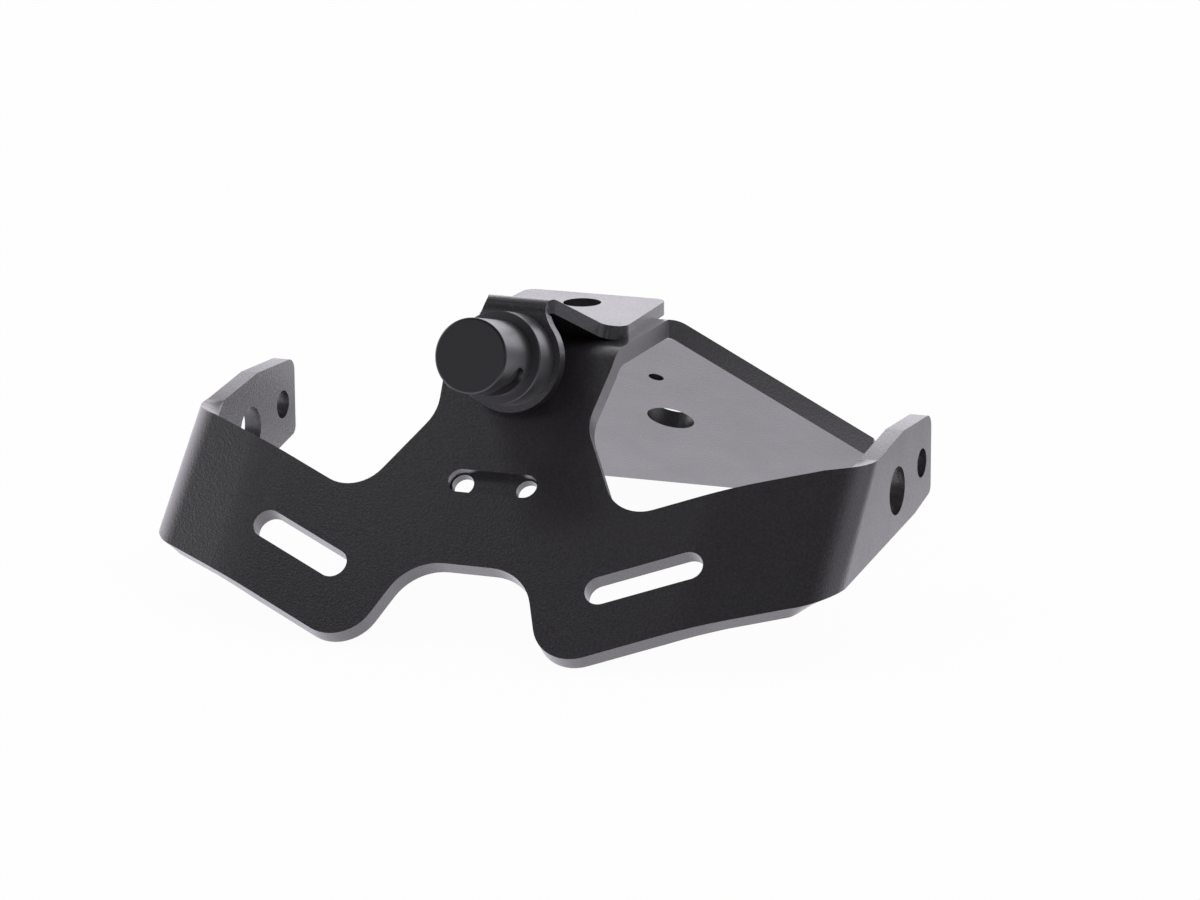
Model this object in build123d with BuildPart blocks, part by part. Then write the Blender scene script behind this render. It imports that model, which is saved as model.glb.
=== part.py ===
from build123d import *
import math
import os

# Motorbike number plate holder: a folded sheet hanger, a folded light bracket and a plate light.
# Millimetres. X is across the bike, Y points to the front plate's back, Z is up from the ground.
# Local outlines are drawn from the middle of the notch between the two lobes of the front plate.

# Hanger plate, one folded sheet
SHEET = 4.0
FACE_ANGLE = 46.0
TRAY_ANGLE = 38.0
BEND_IN = 5.0
WING_BEND_IN = 5.5
WING_FACE_X = 77.9
PREBEND_X = 52.8
PREBEND_ANGLE = 11.5
PREBEND_IN = 60.0

# Front plate outline, one half
NOTCH_TOP = 0.3
NOTCH_R = 11.4
LOBE_X = 27.0
LOBE_Y = -9.6
LOBE_R = 9.2
LOBE_SIDE_ANGLE = 68.0
ARM_ANGLE = 24.0
ARM_WIDTH = 30.1
FOOT_ANGLE = 60.0
FOOT_R = 8.8
WAIST_IN = 1.8
WAIST_R = 10.5
NECK_HALF = 19.0
NECK_FLARE = 7.0
NECK_CORNER_Y = 55.1
NECK_STRAIGHT = 0.4

# Openings of the front plate
SLOT_X = 39.1
SLOT_Y = 1.6
SLOT_W = 6.5
SLOT_L = 25.6
TIE_Y = 20.3
TIE_L = 20.2
TIE_W = 5.5
TIE_DEPTH = 2.0
TIE_RIM = 0.3

# Shelf and tray
SHELF_L = 32.9
SHELF_HOLE_D = 8.4
TRAY_FLARE = 0.54
TRAY_HALF = 51.0
TRAY_CORNER_R = 10.0
TRAY_SMALL_D = 3.5
TRAY_SMALL_X = 9.1
TRAY_SMALL_S = 22.9
TRAY_LARGE_D = 11.0
TRAY_LARGE_X = 5.8
TRAY_LARGE_S = 45.65

# Wings, drawn from the side: Y back, Z up, from the notch
WING_REAR_Y = 74.5
WING_LOW_FRONT_Z = -1.5
WING_LOW_MID = (63.4, 2.7)
WING_LOW_REAR_Z = 4.9
WING_TOP_FRONT_Z = 20.9
WING_TOP_MID = (55.0, 23.1)
WING_TOP_REAR_Z = 22.3
WING_TOP_R = 3.0
WING_BOTTOM_R = 2.0
WING_BIG_D = 10.5
WING_BIG_AT = (50.96, 10.87)
WING_SMALL_D = 6.4
WING_SMALL_AT = (68.0, 12.78)

# Light bracket, one folded sheet
BRACKET_SHEET = 3.0
BRACKET_BEND_IN = 2.0
FLANGE_HALF = 16.7
FLANGE_REAR_Y = 75.3
FLANGE_BEND_Y = 50.0
FLANGE_FRONT_R = 5.0
FLANGE_REAR_R = 2.8
FLANGE_HOLE_Y = 66.2
FLANGE_HOLE_D = 8.4
RISER_ANGLE = 24.8
CREST_Y = 28.0
CREST_HALF = 7.1
TAPER_TOP_Y = 33.5
TAPER_FOOT_Y = 47.8
TAPER_R = 12.0
TAB_LEAN = 14.3
TAB_DROP = 13.96
DISC_R = 11.4

# Plate light, along its own axis from the tab's front face
COLLAR_R = 10.0
COLLAR_L = 7.7
CAP_R = 8.05
CAP_L = 14.5
CAP_WALL = 1.2
CAP_FRONT = 1.4
CAP_RIM = 0.5
WINDOW_W = 7.0
WINDOW_FROM_COLLAR = 2.1
WINDOW_WRAP = 158.0
LENS_WALL = 1.0
SPIGOT_L = 2.0
LIGHT_FIT = 0.1
BOARD_T = 1.2
BOARD_X = 11.0
LED_SIZE = 1.6
LED_T = 0.7
LED_COUNT = 3
LED_PITCH = 3.2
STUD_D = 6.0
STUD_BORE_D = 2.8
STUD_TAIL = 1.0
WASHER_D = 12.0
WASHER_T = 0.8
NUT_ACROSS = 10.0
NUT_T = 3.0
STUD_PLAY = 0.3


def cos_d(angle):
    return math.cos(math.radians(angle))


def sin_d(angle):
    return math.sin(math.radians(angle))


def tan_d(angle):
    return math.tan(math.radians(angle))


# Two lines of the front outline that touch the lobe: its inner side and the arm's lower edge
lobe_span = LOBE_SIDE_ANGLE + ARM_ANGLE
lobe_reach = LOBE_R / cos_d(lobe_span / 2)
lobe_bisector = 180 + 90 - LOBE_SIDE_ANGLE + lobe_span / 2
lobe_corner = (LOBE_X + lobe_reach * cos_d(lobe_bisector), LOBE_Y + lobe_reach * sin_d(lobe_bisector))
notch_x = lobe_corner[0] - (NOTCH_TOP - lobe_corner[1]) / tan_d(LOBE_SIDE_ANGLE)
arm_low_offset = LOBE_Y * cos_d(ARM_ANGLE) - LOBE_X * sin_d(ARM_ANGLE) - LOBE_R
arm_top_offset = arm_low_offset + ARM_WIDTH


def arm_edge(x, offset):
    return (offset + x * sin_d(ARM_ANGLE)) / cos_d(ARM_ANGLE)


# Ground level: the lower back edge of the lobes
lobe_bottom = LOBE_Y - LOBE_R
ground = lobe_bottom * sin_d(FACE_ANGLE) - SHEET * cos_d(FACE_ANGLE)

# Folds seen from the side, as sharp outer corners
neck_corner = (NECK_CORNER_Y * cos_d(FACE_ANGLE), NECK_CORNER_Y * sin_d(FACE_ANGLE))
apex = (neck_corner[0] + SHELF_L, neck_corner[1])
apex_in = (apex[0] - SHEET * tan_d(TRAY_ANGLE / 2), apex[1] - SHEET)
tray_length = (apex_in[1] - ground) / sin_d(TRAY_ANGLE)
tray_far_in = (apex_in[0] + tray_length * cos_d(TRAY_ANGLE), ground)
tray_far = (tray_far_in[0] + SHEET * sin_d(TRAY_ANGLE), tray_far_in[1] + SHEET * cos_d(TRAY_ANGLE))
neck_setback = (BEND_IN + SHEET) * tan_d(FACE_ANGLE / 2)
neck_top = NECK_CORNER_Y - neck_setback - NECK_STRAIGHT
neck_start = (neck_top * cos_d(FACE_ANGLE), neck_top * sin_d(FACE_ANGLE))

# The bounding box's middle, so that the part stands on the origin
front_y = lobe_bottom * cos_d(FACE_ANGLE)
middle_y = (front_y + tray_far[0]) / 2
home = Vector(0, -middle_y, -ground)


def at(y, z):
    return home + Vector(0, y, z)


SIDE = Plane(origin=at(0, 0), x_dir=(0, 1, 0), z_dir=(1, 0, 0))
PLAN = Plane(origin=at(0, 0), x_dir=(1, 0, 0), z_dir=(0, 0, 1))
FACE = Plane(origin=at(0, 0), x_dir=(1, 0, 0), z_dir=(0, -sin_d(FACE_ANGLE), cos_d(FACE_ANGLE)))
UP_FACE = Plane(origin=at(0, 0), x_dir=(1, 0, 0), z_dir=FACE.y_dir)
TRAY = Plane(origin=at(*apex_in), x_dir=(1, 0, 0), z_dir=(0, sin_d(TRAY_ANGLE), cos_d(TRAY_ANGLE)))

# Wing seen along the front plate: a wide slight turn, a short facet, then the tight bend into the leaf
bend_out = WING_BEND_IN + SHEET
knee_depth = (WING_FACE_X - PREBEND_X) * tan_d(PREBEND_ANGLE)
prebend_setback = (PREBEND_IN + SHEET) * tan_d(PREBEND_ANGLE / 2)
knee_setback = bend_out * tan_d((90 - PREBEND_ANGLE) / 2)
facet_start = prebend_setback
facet_end = knee_depth / sin_d(PREBEND_ANGLE) - knee_setback
bend_x = PREBEND_X - prebend_setback
leaf_depth = knee_depth + knee_setback

# Neck and foot of the front outline
neck_flare = tan_d(NECK_FLARE)
waist_x = NECK_HALF - WAIST_IN
waist_y = neck_top - WAIST_IN / neck_flare
foot_x = (waist_x * tan_d(FOOT_ANGLE) + waist_y - arm_top_offset / cos_d(ARM_ANGLE)) \
    / (tan_d(ARM_ANGLE) + tan_d(FOOT_ANGLE))
foot_y = arm_edge(foot_x, arm_top_offset)

# Front corners of the leaf, seen from the side
leaf_low = ((leaf_depth + WING_LOW_FRONT_Z * cos_d(FACE_ANGLE)) / sin_d(FACE_ANGLE), WING_LOW_FRONT_Z)
leaf_top = ((leaf_depth + WING_TOP_FRONT_Z * cos_d(FACE_ANGLE)) / sin_d(FACE_ANGLE), WING_TOP_FRONT_Z)


def up_face(point):
    return point[0] * cos_d(FACE_ANGLE) + point[1] * sin_d(FACE_ANGLE)


def slope_on_leaf(start, end):
    run = (end[0] - start[0]) * sin_d(FACE_ANGLE) - (end[1] - start[1]) * cos_d(FACE_ANGLE)
    return (up_face(end) - up_face(start)) / run


def eased(t, start, start_slope, end, end_slope, length):
    rise = start * (2 * t ** 3 - 3 * t ** 2 + 1) + end * (3 * t ** 2 - 2 * t ** 3)
    return rise + length * (start_slope * (t ** 3 - 2 * t ** 2 + t) + end_slope * (t ** 3 - t ** 2))


def near(shapes, x, y):
    return shapes.sort_by_distance((x, y))[0]


def fold(path, thickness, radii):
    """Outline of a bent sheet that lies to the right of its path, and its corners' true bend radii."""
    steps = [(b[0] - a[0], b[1] - a[1]) for a, b in zip(path, path[1:])]
    ways = [(dx / math.hypot(dx, dy), dy / math.hypot(dx, dy)) for dx, dy in steps]
    ways = [ways[0]] + ways + [ways[-1]]
    under = []
    bends = []
    for point, (ax, ay), (bx, by), radius in zip(path, ways, ways[1:], [0, *radii, 0]):
        reach = thickness / (1 + ax * bx + ay * by)
        below = (point[0] + reach * (ay + by), point[1] - reach * (ax + bx))
        under.append(below)
        turn = ax * by - ay * bx
        if abs(turn) > 0.001:
            bends.append((*(point if turn < 0 else below), radius + thickness))
            bends.append((*(below if turn < 0 else point), radius))
    return path + under[::-1], bends


# Flat of the front plate: lobes, arms, foot and neck
with BuildPart() as front_flat:
    with BuildSketch(FACE) as front_outline:
        with BuildLine():
            Polyline(
                (0, NOTCH_TOP),
                (notch_x, NOTCH_TOP),
                lobe_corner,
                (bend_x, arm_edge(bend_x, arm_low_offset)),
                (bend_x, arm_edge(bend_x, arm_top_offset)),
                (foot_x, foot_y),
                (waist_x, waist_y),
                (NECK_HALF, neck_top),
                (0, neck_top),
                close=True,
            )
        face = make_face()
        face = fillet(near(face.vertices(), notch_x, NOTCH_TOP), NOTCH_R)
        face = fillet(near(face.vertices(), *lobe_corner), LOBE_R)
        face = fillet(near(face.vertices(), foot_x, foot_y), FOOT_R)
        face = fillet(near(face.vertices(), waist_x, waist_y), WAIST_R)
        mirror(about=Plane.YZ)
    extrude(amount=-SHEET)

# Bends of one wing: a bent strip, cut square to the sheet along the two eased edges
bend_length = math.radians(90 - PREBEND_ANGLE) * (bend_out - SHEET / 2)
arm_slope = tan_d(ARM_ANGLE)
low_end = arm_edge(PREBEND_X, arm_low_offset) + arm_slope * facet_end
top_end = arm_edge(PREBEND_X, arm_top_offset) + arm_slope * facet_end
low_edge = (low_end, arm_slope, up_face(leaf_low), slope_on_leaf(leaf_low, WING_LOW_MID))
top_edge = (top_end, arm_slope, up_face(leaf_top), slope_on_leaf(leaf_top, WING_TOP_MID))


def ray(x, depth, turn):
    """Plane across the sheet at a point of its outer face, with x pointing out of the sheet."""
    outward = FACE.z_dir * cos_d(turn) + FACE.x_dir * sin_d(turn)
    point = FACE.from_local_coords(Vector(x, 0, -depth))
    return Plane(origin=point, x_dir=outward, z_dir=outward.cross(FACE.y_dir))


facet_sections = [(ray(bend_x, 0, 0), arm_edge(bend_x, arm_low_offset), arm_edge(bend_x, arm_top_offset))]
for reach in (facet_start, facet_end):
    low = low_end + arm_slope * (reach - facet_end)
    top = top_end + arm_slope * (reach - facet_end)
    facet_point = (PREBEND_X + reach * cos_d(PREBEND_ANGLE), reach * sin_d(PREBEND_ANGLE))
    facet_sections.append((ray(*facet_point, PREBEND_ANGLE), low, top))
bend_sections = []
for share in (0, 0.2, 0.4, 0.6, 0.8, 1):
    turn = PREBEND_ANGLE + share * (90 - PREBEND_ANGLE)
    bend_point = (WING_FACE_X - bend_out * (1 - sin_d(turn)), leaf_depth - bend_out * cos_d(turn))
    low = eased(share, *low_edge, bend_length)
    top = eased(share, *top_edge, bend_length)
    bend_sections.append((ray(*bend_point, turn), low, top))
with BuildPart() as wing_bend:
    for sections, straight in ((facet_sections, True), (bend_sections, False)):
        for plane, low, top in sections:
            with BuildSketch(plane):
                with Locations((WING_BEND_IN / 2 - SHEET, low)):
                    Rectangle(WING_BEND_IN + SHEET, top - low, align=(Align.CENTER, Align.MIN))
        loft(ruled=straight)
    wing_path = [(WING_FACE_X, 2 * leaf_depth), (WING_FACE_X, knee_depth), (PREBEND_X, 0), (SLOT_X, 0)]
    outline, bends = fold(wing_path, SHEET, (WING_BEND_IN, PREBEND_IN))
    with BuildSketch(UP_FACE):
        with BuildLine():
            Polyline(*outline, close=True)
        face = make_face()
        for x, y, radius in bends:
            face = fillet(near(face.vertices(), x, y), radius)
    extrude(amount=2 * WING_FACE_X, both=True, mode=Mode.INTERSECT)

# Leaf of one wing, behind the bend
with BuildPart() as wing_leaf:
    with BuildSketch(SIDE.offset(WING_FACE_X)):
        with BuildLine():
            Polyline(
                leaf_low,
                WING_LOW_MID,
                (WING_REAR_Y, WING_LOW_REAR_Z),
                (WING_REAR_Y, WING_TOP_REAR_Z),
                WING_TOP_MID,
                leaf_top,
                close=True,
            )
        face = make_face()
        face = fillet(near(face.vertices(), WING_REAR_Y, WING_LOW_REAR_Z), WING_BOTTOM_R)
        face = fillet(near(face.vertices(), WING_REAR_Y, WING_TOP_REAR_Z), WING_TOP_R)
        with Locations(WING_BIG_AT):
            Circle(WING_BIG_D / 2, mode=Mode.SUBTRACT)
        with Locations(WING_SMALL_AT):
            Circle(WING_SMALL_D / 2, mode=Mode.SUBTRACT)
    extrude(amount=-SHEET)

# Spine: the bend over the neck, the shelf, the bend at the apex and the tray
flare_y = apex_in[0] + (TRAY_HALF - NECK_HALF) / TRAY_FLARE * cos_d(TRAY_ANGLE)
with BuildPart() as spine:
    outline, bends = fold([neck_start, neck_corner, apex, tray_far], SHEET, (BEND_IN, BEND_IN))
    with BuildSketch(SIDE.offset(-TRAY_HALF)):
        with BuildLine():
            Polyline(*outline, close=True)
        face = make_face()
        for y, z, radius in bends:
            face = fillet(near(face.vertices(), y, z), radius)
    extrude(amount=2 * TRAY_HALF)
    with BuildSketch(PLAN):
        with BuildLine():
            Polyline(
                (NECK_HALF, 0),
                (NECK_HALF, apex_in[0]),
                (TRAY_HALF, flare_y),
                (TRAY_HALF, 2 * tray_far[0]),
                (-TRAY_HALF, 2 * tray_far[0]),
                (-TRAY_HALF, flare_y),
                (-NECK_HALF, apex_in[0]),
                (-NECK_HALF, 0),
                close=True,
            )
        make_face()
    extrude(amount=3 * NECK_CORNER_Y, both=True, mode=Mode.INTERSECT)
    far_corners = edges().filter_by(Axis(TRAY.origin, TRAY.z_dir)).group_by(Axis.Y)[-1]
    fillet(far_corners, TRAY_CORNER_R)

# The whole hanger: one sheet with its slots, holes and pocket
with BuildPart() as hanger_plate:
    add(front_flat.part)
    add(wing_bend.part)
    add(wing_leaf.part)
    mirror(about=Plane.YZ)
    add(spine.part)
    with BuildSketch(FACE):
        for side in (-1, 1):
            with Locations(Location((side * SLOT_X, SLOT_Y), side * ARM_ANGLE)):
                SlotOverall(SLOT_L, SLOT_W)
        with Locations((0, TIE_Y)), GridLocations(TIE_L - TIE_W, 0, 2, 1):
            Circle(TIE_W / 2 - TIE_RIM)
    extrude(amount=2 * SHEET, both=True, mode=Mode.SUBTRACT)
    with BuildSketch(FACE):
        with Locations((0, TIE_Y)):
            SlotOverall(TIE_L, TIE_W)
    extrude(amount=-TIE_DEPTH, mode=Mode.SUBTRACT)
    with BuildSketch(PLAN):
        with Locations((0, FLANGE_HOLE_Y)):
            Circle(SHELF_HOLE_D / 2)
    extrude(amount=2 * neck_corner[1], mode=Mode.SUBTRACT)
    with BuildSketch(TRAY):
        with Locations((TRAY_SMALL_X, TRAY_SMALL_S)):
            Circle(TRAY_SMALL_D / 2)
        with Locations((TRAY_LARGE_X, TRAY_LARGE_S)):
            Circle(TRAY_LARGE_D / 2)
    extrude(amount=2 * SHEET, both=True, mode=Mode.SUBTRACT)
hanger_plate.part.label = "hanger_plate"

# Light bracket: flange on the shelf, riser to the crest, tab down to the light
flange_top = neck_corner[1] + BRACKET_SHEET
crest = (CREST_Y, flange_top + (FLANGE_BEND_Y - CREST_Y) * tan_d(RISER_ANGLE))
light_at = (crest[0] - TAB_DROP * sin_d(TAB_LEAN), crest[1] - TAB_DROP * cos_d(TAB_LEAN))
tab_end = (light_at[0] - DISC_R * sin_d(TAB_LEAN), light_at[1] - DISC_R * cos_d(TAB_LEAN))
LIGHT = Plane(origin=at(*light_at), x_dir=(1, 0, 0), z_dir=(0, -cos_d(TAB_LEAN), sin_d(TAB_LEAN)))
tab_depth = 2 * BRACKET_SHEET
with BuildPart() as light_bracket:
    outline, bends = fold([tab_end, crest, (FLANGE_BEND_Y, flange_top), (FLANGE_REAR_Y, flange_top)],
                          BRACKET_SHEET, (BRACKET_BEND_IN, BRACKET_BEND_IN))
    with BuildSketch(SIDE.offset(-FLANGE_HALF)):
        with BuildLine():
            Polyline(*outline, close=True)
        face = make_face()
        for y, z, radius in bends:
            face = fillet(near(face.vertices(), y, z), radius)
    extrude(amount=2 * FLANGE_HALF)
    with BuildSketch(PLAN):
        with BuildLine():
            Polyline(
                (0, FLANGE_REAR_Y),
                (FLANGE_HALF, FLANGE_REAR_Y),
                (FLANGE_HALF, TAPER_FOOT_Y),
                (CREST_HALF, TAPER_TOP_Y),
                (CREST_HALF, 0),
                (0, 0),
                close=True,
            )
        face = make_face()
        face = fillet(near(face.vertices(), FLANGE_HALF, FLANGE_REAR_Y), FLANGE_REAR_R)
        face = fillet(near(face.vertices(), FLANGE_HALF, TAPER_FOOT_Y), FLANGE_FRONT_R)
        face = fillet(near(face.vertices(), CREST_HALF, TAPER_TOP_Y), TAPER_R)
        with Locations((0, 0)):
            Rectangle(2 * DISC_R, 2 * (CREST_Y + BRACKET_SHEET), align=(Align.MIN, Align.CENTER))
        mirror(about=Plane.YZ)
    extrude(amount=2 * crest[1], mode=Mode.INTERSECT)
    with BuildSketch(LIGHT):
        Rectangle(3 * FLANGE_HALF, 3 * FLANGE_HALF)
        with BuildSketch(LIGHT, mode=Mode.PRIVATE) as tab_outline:
            Circle(DISC_R)
            Rectangle(2 * CREST_HALF, 3 * FLANGE_HALF, align=(Align.CENTER, Align.MIN))
            joins = tab_outline.vertices().filter_by(lambda v: 0 < v.Y < TAB_DROP)
            fillet(joins, TAPER_R)
        add(tab_outline.sketch_local, mode=Mode.SUBTRACT)
    extrude(amount=-tab_depth, mode=Mode.SUBTRACT)
    with BuildSketch(LIGHT):
        Circle(STUD_D / 2 + STUD_PLAY)
    extrude(amount=-tab_depth, mode=Mode.SUBTRACT)
    with BuildSketch(PLAN):
        with Locations((0, FLANGE_HOLE_Y)):
            Circle(FLANGE_HOLE_D / 2)
    extrude(amount=2 * flange_top, mode=Mode.SUBTRACT)
light_bracket.part.label = "light_bracket"

# Plate light: collar with its hollow stud, and a spigot that carries the sleeve and the cup
lens_out = CAP_R - CAP_WALL - LIGHT_FIT
lens_in = lens_out - LENS_WALL
spigot_r = lens_in - LIGHT_FIT
stud_tail = BRACKET_SHEET + WASHER_T + NUT_T + STUD_TAIL
with BuildPart() as light_base:
    with BuildSketch(LIGHT):
        Circle(COLLAR_R)
    extrude(amount=COLLAR_L)
    rims = edges().filter_by(GeomType.CIRCLE).sort_by(Axis(LIGHT.origin, LIGHT.z_dir))[-1]
    chamfer(rims, CAP_RIM / 2)
    with BuildSketch(LIGHT.offset(COLLAR_L)):
        Circle(spigot_r)
    extrude(amount=SPIGOT_L)
    with BuildSketch(LIGHT):
        Circle(STUD_D / 2)
    extrude(amount=-stud_tail)
    with BuildSketch(LIGHT.offset(-stud_tail)):
        Circle(STUD_BORE_D / 2)
    extrude(amount=stud_tail + COLLAR_L + SPIGOT_L, mode=Mode.SUBTRACT)
    with BuildSketch(LIGHT.offset(COLLAR_L + SPIGOT_L)):
        Rectangle(BOARD_X, BOARD_T, align=(Align.CENTER, Align.MIN))
    extrude(amount=-2 * SPIGOT_L, mode=Mode.SUBTRACT)
light_base.part.label = "light_base"

# Cup with the window slot wrapped round its underside
window_mid = COLLAR_L + WINDOW_FROM_COLLAR + WINDOW_W / 2
window_swing = WINDOW_WRAP / 2 - math.degrees(math.asin(WINDOW_W / 2 / CAP_R))
with BuildPart() as light_cap:
    with BuildSketch(LIGHT.offset(COLLAR_L)):
        Circle(CAP_R)
    extrude(amount=CAP_L)
    front_rim = edges().filter_by(GeomType.CIRCLE).sort_by(Axis(LIGHT.origin, LIGHT.z_dir))[-1]
    fillet(front_rim, CAP_RIM)
    with BuildSketch(LIGHT.offset(COLLAR_L)):
        Circle(CAP_R - CAP_WALL)
    extrude(amount=CAP_L - CAP_FRONT, mode=Mode.SUBTRACT)
    reach = 2 * CAP_R
    with BuildSketch(LIGHT.offset(window_mid)):
        with BuildLine():
            Polyline(
                (0, 0),
                (reach * sin_d(window_swing), -reach * cos_d(window_swing)),
                (0, -2 * reach),
                (-reach * sin_d(window_swing), -reach * cos_d(window_swing)),
                close=True,
            )
        make_face()
    extrude(amount=WINDOW_W / 2, both=True, mode=Mode.SUBTRACT)
    for swing in (-window_swing, window_swing):
        radial = LIGHT.x_dir * sin_d(swing) - LIGHT.y_dir * cos_d(swing)
        mid = LIGHT.origin + LIGHT.z_dir * window_mid
        with BuildSketch(Plane(origin=mid, x_dir=LIGHT.z_dir, z_dir=radial)):
            Circle(WINDOW_W / 2)
        extrude(amount=reach, mode=Mode.SUBTRACT)
light_cap.part.label = "light_cap"

# Smoked sleeve behind the window
with BuildPart() as light_lens:
    with BuildSketch(LIGHT.offset(COLLAR_L)):
        Circle(lens_out)
        Circle(lens_in, mode=Mode.SUBTRACT)
    extrude(amount=CAP_L - CAP_FRONT)
light_lens.part.label = "light_lens"

# Board that plugs into the spigot, and its chips over the window
board_l = CAP_L - CAP_FRONT
with BuildPart() as light_board:
    with BuildSketch(LIGHT.offset(COLLAR_L - SPIGOT_L)):
        Rectangle(BOARD_X, BOARD_T, align=(Align.CENTER, Align.MIN))
    extrude(amount=board_l)
light_board.part.label = "light_board"

with BuildPart() as light_leds:
    with BuildSketch(LIGHT.offset(window_mid - LED_SIZE / 2)):
        with GridLocations(LED_PITCH, 0, LED_COUNT, 1):
            Rectangle(LED_SIZE, LED_T, align=(Align.CENTER, Align.MAX))
    extrude(amount=LED_SIZE)
light_leds.part.label = "light_leds"

# Washer and thin nut behind the tab
with BuildPart() as stud_washer:
    with BuildSketch(LIGHT.offset(-BRACKET_SHEET)):
        Circle(WASHER_D / 2)
        Circle(STUD_D / 2 + STUD_PLAY, mode=Mode.SUBTRACT)
    extrude(amount=-WASHER_T)
stud_washer.part.label = "stud_washer"

with BuildPart() as stud_nut:
    with BuildSketch(LIGHT.offset(-BRACKET_SHEET - WASHER_T)):
        RegularPolygon(NUT_ACROSS / 2, 6, major_radius=False, rotation=30)
        Circle(STUD_D / 2 + LIGHT_FIT, mode=Mode.SUBTRACT)
    extrude(amount=-NUT_T)
stud_nut.part.label = "stud_nut"

os.makedirs("parts", exist_ok=True)
pieces = [
    hanger_plate.part,
    light_bracket.part,
    light_base.part,
    light_cap.part,
    light_lens.part,
    light_board.part,
    light_leds.part,
    stud_washer.part,
    stud_nut.part,
]
for piece in pieces:
    box = piece.bounding_box()
    print(piece.label, "volume", round(piece.volume), "solids", len(piece.solids()), box.min, box.max)
    export_step(piece, "parts/" + piece.label + ".step")
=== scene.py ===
# %% [markdown]
# # A motorbike's number plate holder
#
# The real thing is one laser-cut and folded steel sheet, a small folded bracket that lies on its
# shelf, and a round plate light that stands out from that bracket and shines down through a window
# in its underside. The solids come from the CAD model, true to size. This lesson dresses them: it
# rounds the cut edges as a powder coat does, makes the surfaces, and sets the light and the camera
# of the photograph.

# %% Load the frame and keep its box
from math import radians

import bmesh
import bpy
import numpy as np
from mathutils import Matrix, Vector
from mathutils.geometry import delaunay_2d_cdt


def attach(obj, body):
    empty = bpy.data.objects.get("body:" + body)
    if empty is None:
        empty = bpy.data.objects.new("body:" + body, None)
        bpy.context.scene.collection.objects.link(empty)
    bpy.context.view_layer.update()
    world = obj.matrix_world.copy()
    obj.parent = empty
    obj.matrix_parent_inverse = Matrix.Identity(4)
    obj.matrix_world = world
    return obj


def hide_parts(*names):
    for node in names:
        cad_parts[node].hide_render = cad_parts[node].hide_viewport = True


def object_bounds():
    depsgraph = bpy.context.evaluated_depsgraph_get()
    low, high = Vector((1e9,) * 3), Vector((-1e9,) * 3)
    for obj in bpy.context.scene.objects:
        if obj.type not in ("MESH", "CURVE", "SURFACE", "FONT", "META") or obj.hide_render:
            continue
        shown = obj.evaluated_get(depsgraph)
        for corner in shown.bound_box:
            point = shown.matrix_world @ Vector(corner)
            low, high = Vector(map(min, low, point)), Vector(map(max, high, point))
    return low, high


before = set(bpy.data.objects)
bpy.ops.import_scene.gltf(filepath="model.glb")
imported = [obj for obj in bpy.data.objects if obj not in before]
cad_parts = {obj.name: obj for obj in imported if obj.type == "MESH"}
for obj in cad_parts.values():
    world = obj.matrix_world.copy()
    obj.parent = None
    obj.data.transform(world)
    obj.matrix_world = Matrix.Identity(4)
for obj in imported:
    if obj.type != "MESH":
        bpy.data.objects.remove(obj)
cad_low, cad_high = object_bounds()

print("nodes:", sorted(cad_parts))

# %% [markdown]
# ## Small tools
#
# Blender's sockets want linear light, while a colour written as a hex value is sRGB. One function
# turns the one into the other. Every pattern on this object is measured in millimetres, so a second
# function turns the size of a grain into the scale of a noise texture on Object coordinates, which
# are metres here.

# %% Colours from hex and pattern scales from millimetres
def linear(hex_colour):
    """sRGB hex to linear RGBA: c / 12.92 near black, else ((c + 0.055) / 1.055) ** 2.4."""
    value = np.array([int(hex_colour[i:i + 2], 16) for i in (1, 3, 5)]) / 255
    value = np.where(value <= 0.04045, value / 12.92, ((value + 0.055) / 1.055) ** 2.4)
    return (*(float(v) for v in value), 1.0)


def per_grain(millimetres):
    """Texture scale that gives one cell of a pattern for so many millimetres."""
    return 1000 / millimetres


print("mid grey is", [round(v, 3) for v in linear("#808080")])

# %% [markdown]
# A material is a small graph of nodes. One function adds a node with its settings, links and
# values, so that each material below reads as a list of what the surface is made of. Most sockets
# go by their name. The Mix node has several called A and B, so its colour sockets go by their
# number.

# %% A node in one call
COLOUR_A, COLOUR_B, MIXED_COLOUR = 6, 7, 2


def add_node(tree, kind, settings=(), links=(), numbered=(), **named):
    """Adds a node with attributes, {socket: output} links, and values by number or by name."""
    node = tree.nodes.new(kind)
    for name, value in dict(settings).items():
        setattr(node, name, value)
    for number, value in dict(numbered).items():
        node.inputs[number].default_value = value
    for name, value in named.items():
        node.inputs[name.replace("_", " ")].default_value = value
    for socket, source in dict(links).items():
        tree.links.new(source, node.inputs[socket])
    return node


def new_material(name):
    """A material with an empty graph, and that graph."""
    material = bpy.data.materials.new(name)
    material.use_nodes = True
    material.node_tree.nodes.clear()
    return material, material.node_tree


# %% [markdown]
# ## Powder-coated steel
#
# Powder coat is a thick polyester skin, melted over the sheet in an oven. Its fine-textured grade
# has a grain of about half a millimetre: the eye sees a satin black, faintly violet, that sparkles
# where light grazes it. One fine noise gives the grain, as bump and as small lighter specks. A slow
# second noise lets the roughness drift a little over a centimetre or so, as a sprayed coat does.
# The clear gloss of the skin lies on top and follows the same bump.

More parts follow.
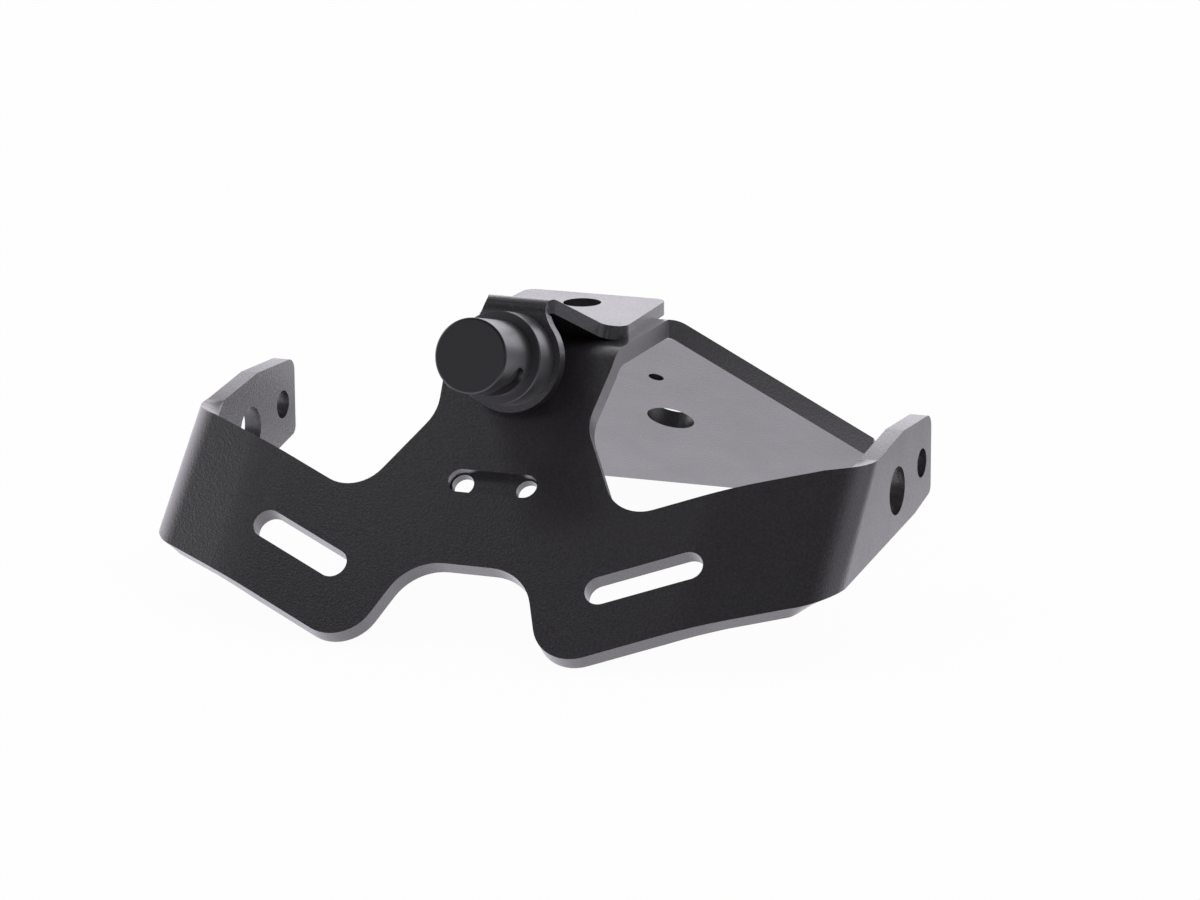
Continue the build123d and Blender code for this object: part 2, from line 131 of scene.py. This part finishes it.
# %% Powder coat
def powder_coat():
    """Satin black whose grain breaks the sheen into sparkles."""
    material, tree = new_material("powder_coat_fine_texture")
    where = add_node(tree, "ShaderNodeTexCoord").outputs["Object"]
    grain = add_node(tree, "ShaderNodeTexNoise", links={"Vector": where},
                     Scale=per_grain(0.5), Detail=2.0, Roughness=0.6).outputs["Fac"]
    drift = add_node(tree, "ShaderNodeTexNoise", links={"Vector": where},
                     Scale=per_grain(14), Detail=2.0, Roughness=0.5).outputs["Fac"]
    tone = add_node(tree, "ShaderNodeMapRange", links={"Value": grain},
                    From_Min=0.35, From_Max=0.7, To_Min=0.0, To_Max=1.0)
    colour = add_node(tree, "ShaderNodeMix", {"data_type": "RGBA"},
                      {"Factor": tone.outputs["Result"]},
                      {COLOUR_A: linear("#1c191d"), COLOUR_B: linear("#2f2b31")})
    gloss = add_node(tree, "ShaderNodeMapRange", links={"Value": drift},
                     From_Min=0.3, From_Max=0.7, To_Min=0.34, To_Max=0.42)
    bump = add_node(tree, "ShaderNodeBump", links={"Height": grain},
                    Strength=0.8, Distance=0.00009).outputs["Normal"]
    shader = add_node(tree, "ShaderNodeBsdfPrincipled",
                      links={"Base Color": colour.outputs[MIXED_COLOUR],
                             "Roughness": gloss.outputs["Result"],
                             "Normal": bump, "Coat Normal": bump},
                      IOR=1.6, Coat_Weight=1.0, Coat_Roughness=0.24, Coat_IOR=1.6)
    add_node(tree, "ShaderNodeOutputMaterial", links={"Surface": shader.outputs["BSDF"]})
    return material


coat = powder_coat()
print("made", coat.name)

# %% [markdown]
# ## The plate light's surfaces
#
# The light's cup and collar are turned aluminium, anodised black. The collar is drawn a dark grey,
# lighter than the cup: painted light, standing in for the extra light that falls on it. Anodising
# keeps the metal's shine under a clear oxide skin, and the lathe leaves rings finer than a tenth of
# a millimetre, too fine to see one by one. They are drawn coarser, as a noise that is stretched
# fifty times in X and Z and stays fine in Y. The Mapping node scales before it turns, so the rings
# lie square to Y, which is 14.3 degrees off the light's axis. The turn only takes the noise's own
# grid off the axes.

# %% Anodised aluminium
LIGHT_LEAN = radians(14.3)


def anodised(name, colour):
    """Dark metal whose fine rings draw every highlight out along the barrel."""
    material, tree = new_material(name)
    where = add_node(tree, "ShaderNodeTexCoord").outputs["Object"]
    stretched = add_node(tree, "ShaderNodeMapping", links={"Vector": where},
                         Rotation=(LIGHT_LEAN, 0, 0), Scale=(0.02, 1, 0.02))
    rings = add_node(tree, "ShaderNodeTexNoise", links={"Vector": stretched.outputs["Vector"]},
                     Scale=per_grain(0.35), Detail=2.0).outputs["Fac"]
    gloss = add_node(tree, "ShaderNodeMapRange", links={"Value": rings},
                     From_Min=0.3, From_Max=0.7, To_Min=0.42, To_Max=0.50)
    bump = add_node(tree, "ShaderNodeBump", links={"Height": rings},
                    Strength=0.12, Distance=0.00004)
    shader = add_node(tree, "ShaderNodeBsdfPrincipled",
                      links={"Roughness": gloss.outputs["Result"],
                             "Normal": bump.outputs["Normal"]},
                      Base_Color=linear(colour), Metallic=0.9, IOR=1.5,
                      Coat_Weight=1.0, Coat_Roughness=0.3, Coat_IOR=1.65,
                      Sheen_Weight=0.12, Sheen_Roughness=0.4)
    add_node(tree, "ShaderNodeOutputMaterial", links={"Surface": shader.outputs["BSDF"]})
    return material


cup_black = anodised("anodised_aluminium_black", "#2a282c")
# The collar's dark grey is painted light: a lighter copy of the cup's black for the extra light on
# it.
collar_painted_lighter = anodised("anodised_aluminium_painted_lighter", "#4a484c")
print("made", cup_black.name, collar_painted_lighter.name)

# %% [markdown]
# The window is closed by a smoked polycarbonate sleeve. Behind it stand a small board with a white
# solder mask and its lamp chips, whose phosphor is yellow. The washer and the nut behind the tab
# are zinc-plated steel.

# %% Smoked sleeve, board, chips and zinc
def smoked():
    """A dark, dull plastic that hides what stands behind it."""
    material, tree = new_material("smoked_polycarbonate")
    shader = add_node(tree, "ShaderNodeBsdfPrincipled", Base_Color=linear("#39393b"),
                      Roughness=0.6, IOR=1.5, Transmission_Weight=0.1)
    add_node(tree, "ShaderNodeOutputMaterial", links={"Surface": shader.outputs["BSDF"]})
    return material


def speckled(name, dark, light, grain_mm, roughness, metallic=0.0):
    """A plain finish with a faint mottle, for small parts."""
    material, tree = new_material(name)
    where = add_node(tree, "ShaderNodeTexCoord").outputs["Object"]
    mottle = add_node(tree, "ShaderNodeTexNoise", links={"Vector": where},
                      Scale=per_grain(grain_mm), Detail=2.0)
    colour = add_node(tree, "ShaderNodeMix", {"data_type": "RGBA"},
                      {"Factor": mottle.outputs["Fac"]},
                      {COLOUR_A: linear(dark), COLOUR_B: linear(light)})
    shader = add_node(tree, "ShaderNodeBsdfPrincipled",
                      links={"Base Color": colour.outputs[MIXED_COLOUR]},
                      Roughness=roughness, Metallic=metallic)
    add_node(tree, "ShaderNodeOutputMaterial", links={"Surface": shader.outputs["BSDF"]})
    return material


lens = smoked()
mask = speckled("solder_mask_white", "#c9c9c4", "#d8d8d4", 0.6, 0.35)
phosphor = speckled("lamp_phosphor", "#d8c040", "#e8d050", 0.4, 0.3)
zinc = speckled("zinc_plated_steel", "#8f9194", "#a8aaad", 1.2, 0.32, 1.0)
print("made", lens.name, mask.name, phosphor.name, zinc.name)

# %% [markdown]
# ## Sheets with rounded edges
#
# A laser leaves a sharp edge on the sheet, and the powder coat rounds it to about half a
# millimetre. That round is what catches the light along every outline, so it is real here, not a
# trick of the shader: the sheet's loose triangles are merged, its flat faces are made whole again,
# and a Bevel modifier rounds the edges that are sharper than 30 degrees. The Weighted Normal
# modifier gives the large faces all the say over the shading, so that they stay flat right up to
# the round.

# %% A coated sheet with rounded edges
MERGE_M = 2e-6              # points nearer than this are one
FLAT = radians(0.6)         # faces that differ by less than this are one face
EDGE = radians(30)          # edges sharper than this are rounded
LARGE_FACES_ONLY = 100      # the Weighted Normal modifier's highest weight


def coated_sheet(node, source, width_mm, material):
    """Rounds the sharp edges of a copy of the source mesh and puts it in the node's place."""
    mesh = bpy.data.meshes.new(node + "_rounded")
    work = bmesh.new()
    work.from_mesh(source)
    bmesh.ops.remove_doubles(work, verts=work.verts, dist=MERGE_M)
    bmesh.ops.dissolve_limit(work, angle_limit=FLAT, verts=work.verts, edges=work.edges)
    bmesh.ops.recalc_face_normals(work, faces=work.faces)
    for face in work.faces:
        face.smooth = True
    work.to_mesh(mesh)
    work.free()
    mesh.materials.append(material)
    piece = bpy.data.objects.new(node + "_rounded", mesh)
    bpy.context.scene.collection.objects.link(piece)
    bevel = piece.modifiers.new("edge", "BEVEL")
    bevel.width = width_mm / 1000
    bevel.segments = 3
    bevel.limit_method = "ANGLE"
    bevel.angle_limit = EDGE
    bevel.use_clamp_overlap = True
    flat = piece.modifiers.new("flat_faces", "WEIGHTED_NORMAL")
    flat.mode = "FACE_AREA"
    flat.weight = LARGE_FACES_ONLY
    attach(piece, "root")
    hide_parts(node)
    print(node, len(mesh.vertices), "points,", len(mesh.polygons), "faces before the bevel")


coated_sheet("hanger_plate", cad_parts["hanger_plate"].data, 0.45, coat)

# %% [markdown]
# ## The light's bracket: a blank, cut flat and then folded
#
# The bracket's outline flows: from the round end that carries the light, through a waist at the
# crest, and out to the wide flange with its soft front corners. On the real sheet that outline is
# cut flat, and the folds come after. The same is done here. Both the outline and the folded line
# are straight pieces joined by arcs, so one function draws either of them from its corners.

# %% Lines with rounded corners
def unit(vector):
    """The vector at length 1: v / |v|."""
    return vector / np.linalg.norm(vector)


def rounded_line(corners, radii, steps=12):
    """A line through corners, each inner one rounded, as points and headings.

    At a corner b the unit vectors u and v point to its neighbours, with the angle 2h between them.
    The arc's centre is b + (u + v) / |u + v| * r / sin(h). It leaves the first side r / tan(h) from
    b and turns through pi - 2h.
    """
    corners = np.array(corners, float)
    points, headings = [corners[0]], [unit(corners[1] - corners[0])]
    for a, b, c, r in zip(corners[:-2], corners[1:-1], corners[2:], radii):
        u, v = unit(a - b), unit(c - b)
        h = np.arccos(u @ v) / 2
        centre = b + unit(u + v) * r / np.sin(h)
        turn = np.sign(u[1] * v[0] - u[0] * v[1]) * (np.pi - 2 * h)
        for angle in np.linspace(0, turn, steps):
            cos, sin = np.cos(angle), np.sin(angle)
            spin = np.array([[cos, -sin], [sin, cos]])
            points.append(centre + spin @ (b + u * r / np.tan(h) - centre))
            headings.append(spin @ -u)
    points.append(corners[-1])
    headings.append(unit(corners[-1] - corners[-2]))
    return np.array(points), np.array(headings)


# %% [markdown]
# The folded line is the sheet's upper side, seen from the side of the bike: up the tab, over the
# crest, down the riser and back along the flange. Measured along it, a point of the sheet is at s,
# and the same s is its place in the flat blank, with x across. The blank's right half runs from the
# tab's round end, through a hollow curve into the waist, and out along the flare to the flange's
# corners.

# %% The folded line and the blank's outline, in millimetres
SHEET = 3.0                                 # thickness
CREST_INSIDE, FLANGE_R = 0.6, 1.5           # radii: under the crest, and above the flange's fold
FOLDED = [(-41.103, 44.529), (-34.731, 69.530), (-15.51, 58.938), (12.461, 58.938)]    # (y, z)
DISC_R, NECK_HALF, NECK_R = 11.4, 6.85, 9.0           # round end, half the waist, hollow curve
ROUND_END_STEPS, HOLLOW_STEPS = 40, 12

line, heading = rounded_line(FOLDED, (SHEET + CREST_INSIDE, FLANGE_R))
along = np.concatenate([[0], np.cumsum(np.linalg.norm(np.diff(line, axis=0), axis=1))])
end = along[-1]

# The hollow curve touches the disc and the waist, so its centre is DISC_R + NECK_R from the disc's
hollow_x = NECK_HALF + NECK_R
hollow_s = DISC_R + np.sqrt((DISC_R + NECK_R) ** 2 - hollow_x ** 2)
meet = np.arctan2(hollow_x, DISC_R - hollow_s)
round_end = [(DISC_R * np.sin(a), DISC_R - DISC_R * np.cos(a))
             for a in np.linspace(0, meet, ROUND_END_STEPS)]
neck = [(hollow_x + NECK_R * np.sin(a), hollow_s - NECK_R * np.cos(a))
        for a in np.linspace(meet - np.pi, -np.pi / 2, HOLLOW_STEPS)[1:]]
flare_corners = [(NECK_HALF, 24.3), (NECK_HALF, 24.6), (12.7, 44.7), (17.4, 45.3), (16.6, end),
                 (0, end)]
flare = rounded_line(flare_corners, (2.0, 2.7, 2.4, 2.8))[0][1:-1]
half = np.array(round_end + neck + flare.tolist())
print("bracket blank", round(end, 2), "mm long, rows of points at", len(line), "places")

# %% [markdown]
# The blank is cut into triangles. Each point of the folded line has a row of its own across the
# blank, so that a fold falls on edges and never bends a triangle. The holes are cut as well: one
# for the light's stud in the round end, one in the flange.

# %% Cut the blank
STUD_HOLE_R, FLANGE_HOLE_R, FLANGE_HOLE_FROM_END = 3.3, 4.2, 9.1
HOLE_STEPS = 48
ON_AXIS, SAME_POINT = 1e-6, 1e-7            # millimetres
INSIDE_ONLY = 1                             # delaunay_2d_cdt: keep triangles inside the outline
DIGITS = 6                                  # rows are matched to this many decimals


def cut_blank(half, rows, holes):
    """Points (x, s) of the flat blank and its triangles, with an edge across at every row."""
    s = np.unique(np.concatenate([half[:, 1], rows]))
    x = np.interp(s, half[:, 1], half[:, 0])
    points = list(zip(x, s)) + [(-x_at, s_at) for x_at, s_at in zip(x, s) if x_at > ON_AXIS]
    right = {round(float(s_at), DIGITS): i for i, s_at in enumerate(s)}
    left = {round(float(points[i][1]), DIGITS): i for i in range(len(s), len(points))}
    ring = list(range(len(s))) + list(range(len(points) - 1, len(s) - 1, -1))
    cuts = list(zip(ring, ring[1:] + ring[:1]))
    cuts += [(right[key], left[key]) for key in (round(float(row), DIGITS) for row in rows)]
    for s_hole, radius in holes:
        first = len(points)
        points += [(radius * np.cos(a), s_hole + radius * np.sin(a))
                   for a in np.linspace(0, 2 * np.pi, HOLE_STEPS + 1)[:-1]]
        cuts += [(first + i, first + (i + 1) % HOLE_STEPS) for i in range(HOLE_STEPS)]
    blank, _, triangles, *_ = delaunay_2d_cdt([Vector(p) for p in points], cuts, [],
                                              INSIDE_ONLY, SAME_POINT)
    blank = np.array([tuple(p) for p in blank])

    def in_the_sheet(triangle):
        middle = blank[list(triangle)].mean(0)
        return all(np.hypot(*(middle - (0, s_hole))) > radius for s_hole, radius in holes)

    return blank, [t for t in triangles if in_the_sheet(t)]


blank, triangles = cut_blank(half, along[1:-1], [(DISC_R, STUD_HOLE_R),
                                                 (end - FLANGE_HOLE_FROM_END, FLANGE_HOLE_R)])
print("cut the blank into", len(triangles), "triangles")

# %% [markdown]
# Folding lays each point on the folded line's upper side and, one thickness deeper, on its lower
# side. Where a triangle has no neighbour, along the outline and round the holes, a wall joins the
# two sides.

# %% Fold the blank
def folded(blank, triangles, line, heading, along):
    """A mesh of the sheet in metres, from its blank in millimetres.

    A point (x, s) comes to (x, P(s)) above and to (x, P(s) - t n(s)) below, with P the folded line,
    t the thickness and n the heading turned by a right angle.
    """
    above, way = (np.column_stack([np.interp(blank[:, 1], along, values[:, i]) for i in (0, 1)])
                  for values in (line, heading))
    way /= np.linalg.norm(way, axis=1)[:, None]
    below = above - SHEET * np.column_stack([-way[:, 1], way[:, 0]])
    corners = np.concatenate([np.column_stack([blank[:, 0], side]) for side in (above, below)])
    count = len(blank)
    faces = [tuple(t) for t in triangles]
    faces += [tuple(i + count for i in reversed(t)) for t in triangles]
    sides = dict.fromkeys((i, j) for t in triangles for i, j in zip(t, t[1:] + t[:1]))
    faces += [(j, i, i + count, j + count) for i, j in sides if (j, i) not in sides]
    mesh = bpy.data.meshes.new("bracket_sheet")
    mesh.from_pydata((corners / 1000).tolist(), [], faces)
    return mesh


coated_sheet("light_bracket", folded(blank, triangles, line, heading, along), 0.4, coat)

# %% [markdown]
# ## Surfaces on the light's solids
#
# The light's pieces are round and already true in the CAD model, so they keep their meshes and only
# get their materials.

# %% Materials onto the CAD nodes
finishes = {
    "light_base": collar_painted_lighter,
    "light_cap": cup_black,
    "light_lens": lens,
    "light_board": mask,
    "light_leds": phosphor,
    "stud_washer": zinc,
    "stud_nut": zinc,
}
for node, material in finishes.items():
    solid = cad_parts[node]
    solid.data.materials.clear()
    solid.data.materials.append(material)
print("dressed", len(finishes), "nodes")

# %% [markdown]
# ## A white studio
#
# The photograph was taken on white paper that runs on behind the holder. Black coat shows little of
# its own colour: what the eye reads is how it mirrors the studio, faintly head-on and strongly at a
# glance. So the floor and the world are plain white to the camera, and have a level and a slightly
# cold tint of their own for mirrored rays. That level isn't even, as it isn't in a real studio with
# lamps, screens and dark corners: smooth steps along the axes make it fade.

# %% White that mirrors see in their own way
COLD_WHITE = "#f9f6ff"


def seen_by(tree, rays, kinds):
    """1 for a ray of one of the kinds, else 0: the largest of the Light Path node's flags."""
    seen = rays[f"Is {kinds[0]} Ray"]
    for kind in kinds[1:]:
        seen = add_node(tree, "ShaderNodeMath", {"operation": "MAXIMUM"},
                        {0: seen, 1: rays[f"Is {kind} Ray"]}).outputs[0]
    return seen


def faded(tree, position, fades):
    """The product of smooth steps, each (axis, (start, stop), (level at start, level at stop))."""
    split = add_node(tree, "ShaderNodeSeparateXYZ", links={"Vector": position})
    level = None
    for axis, (start, stop), (first, last) in fades:
        step = add_node(tree, "ShaderNodeMapRange", {"interpolation_type": "SMOOTHSTEP"},
                        {"Value": split.outputs[axis]}, From_Min=start, From_Max=stop,
                        To_Min=first, To_Max=last).outputs["Result"]
        level = step if level is None else add_node(
            tree, "ShaderNodeMath", {"operation": "MULTIPLY"}, {0: level, 1: step}).outputs[0]
    return level


def white_for(tree, rays, plain, mirrored):
    """Strength and colour of a white: a plain level, or the mirrored one and a cold tint."""
    strength = add_node(tree, "ShaderNodeMix", {"data_type": "FLOAT"},
                        {"Factor": rays["Is Glossy Ray"], "B": mirrored}, A=plain)
    colour = add_node(tree, "ShaderNodeMix", {"data_type": "RGBA"},
                      {"Factor": rays["Is Glossy Ray"]},
                      {COLOUR_A: (1, 1, 1, 1), COLOUR_B: linear(COLD_WHITE)})
    return strength.outputs[0], colour.outputs[MIXED_COLOUR]


# %% [markdown]
# The floor is a sheet of paper. To the camera, in mirrors and through the sleeve it is nearly all
# plain white, with 4 % of a real diffuse paper, which keeps the holder's soft shadow. Its mirrored
# level is brightest under the holder's left and falls off towards the right.

# %% Floor
FLOOR_SIZE = 6.0            # metres
WHITE_SHARE = 0.96          # the rest is paper that takes the shadow
FLOOR_FADE = [("X", (0.02, 0.24), (1.15, 0.25))]


def studio_floor():
    """A square at z = 0, half a side each way, of paper that shows white."""
    mesh = bpy.data.meshes.new("floor")
    corners = np.array([[-1, -1, 0], [1, -1, 0], [1, 1, 0], [-1, 1, 0]]) * FLOOR_SIZE / 2
    mesh.from_pydata(corners.tolist(), [], [(0, 1, 2, 3)])
    floor = bpy.data.objects.new("floor", mesh)
    bpy.context.scene.collection.objects.link(floor)
    material, tree = new_material("studio_paper")
    rays = add_node(tree, "ShaderNodeLightPath").outputs
    where = add_node(tree, "ShaderNodeTexCoord").outputs["Object"]
    strength, colour = white_for(tree, rays, 1.0, faded(tree, where, FLOOR_FADE))
    share = add_node(tree, "ShaderNodeMath", {"operation": "MULTIPLY"},
                     {0: seen_by(tree, rays, ("Camera", "Glossy", "Transmission"))},
                     {1: WHITE_SHARE})
    paper = add_node(tree, "ShaderNodeBsdfDiffuse", Color=linear("#f4f4f4"))
    white = add_node(tree, "ShaderNodeEmission", links={"Strength": strength, "Color": colour})
    both = add_node(tree, "ShaderNodeMixShader",
                    links={0: share.outputs[0], 1: paper.outputs[0], 2: white.outputs[0]})
    add_node(tree, "ShaderNodeOutputMaterial", links={"Surface": both.outputs[0]})
    mesh.materials.append(material)


studio_floor()
print("laid a floor of", FLOOR_SIZE, "m")

# %% [markdown]
# The world closes the studio. The camera sees pure white. Mirrored rays see a bright horizon that
# turns dark overhead, which keeps the upward faces of the sheet deep, a dim room in front, and a
# darker right side. All other rays get an even, softer white, the plain fill of the studio.

# %% World
FILL = 0.7
WORLD_FADES = [
    ("Z", (0.3, 0.68), (1.3, 0.11)),
    ("Y", (-0.8, -0.1), (0.22, 1.0)),
    ("X", (0.3, 0.85), (1.0, 0.4)),
]


def studio_world():
    """A world that is white to the camera, uneven in mirrors and even for everything else."""
    world = bpy.data.worlds.new("studio")
    bpy.context.scene.world = world
    world.use_nodes = True
    tree = world.node_tree
    tree.nodes.clear()
    rays = add_node(tree, "ShaderNodeLightPath").outputs
    where = add_node(tree, "ShaderNodeTexCoord").outputs["Generated"]
    strength, colour = white_for(tree, rays, FILL, faded(tree, where, WORLD_FADES))
    shown = add_node(tree, "ShaderNodeMath", {"operation": "MAXIMUM"},
                     {0: strength, 1: seen_by(tree, rays, ("Camera", "Transmission"))})
    sky = add_node(tree, "ShaderNodeBackground",
                   links={"Strength": shown.outputs[0], "Color": colour})
    add_node(tree, "ShaderNodeOutputWorld", links={"Surface": sky.outputs[0]})


studio_world()
print("closed the studio with", len(WORLD_FADES), "fades")

# %% [markdown]
# ## Lamps
#
# Three soft lamps shape the holder. A large one stands behind and above: it lights the shelf and
# the flange and runs a bright line along the upper edges. A weaker one from the left models the
# arms. A small, faint one above the neck puts a soft patch of light on the dark plate beside the
# light.

# %% Lamps
def soft_lamp(name, place, size, watts, target):
    """A square area lamp at a place in metres, turned towards a target."""
    data = bpy.data.lights.new(name, "AREA")
    data.size = size
    data.energy = watts
    lamp = bpy.data.objects.new(name, data)
    bpy.context.scene.collection.objects.link(lamp)
    lamp.location = place
    lamp.rotation_euler = (target - lamp.location).to_track_quat("-Z", "Y").to_euler()


middle = (cad_low + cad_high) / 2
LAMPS = [
    ("behind_above", (0.1, 0.95, 0.9), 1.6, 3.0),
    ("from_the_left", (-1.1, -0.3, 0.5), 0.8, 0.8),
    ("above_the_neck", (-0.27, -0.12, 0.5), 0.15, 0.035),
]
for name, place, size, watts in LAMPS:
    soft_lamp(name, place, size, watts, middle)
print("hung", len(LAMPS), "soft lamps")

# %% [markdown]
# ## Camera
#
# The camera stands where the photograph was taken from: its place, turn and lens were worked out
# from points on the holder's edges and holes, so that the render and the photograph can be laid
# over each other.

# %% Camera
eye = bpy.data.cameras.new("camera")
eye.sensor_width = 36
eye.lens = 146.164
eye.clip_start, eye.clip_end = 0.05, 20
camera = bpy.data.objects.new("camera", eye)
bpy.context.scene.collection.objects.link(camera)
camera.location = (0.38568, -0.96613, 0.29687)
camera.rotation_euler = (radians(75.417), radians(0.3391), radians(21.401))
bpy.context.scene.camera = camera
bpy.context.scene.view_settings.view_transform = "Standard"
print("camera at", round(camera.location.length, 2), "m from the holder's foot")
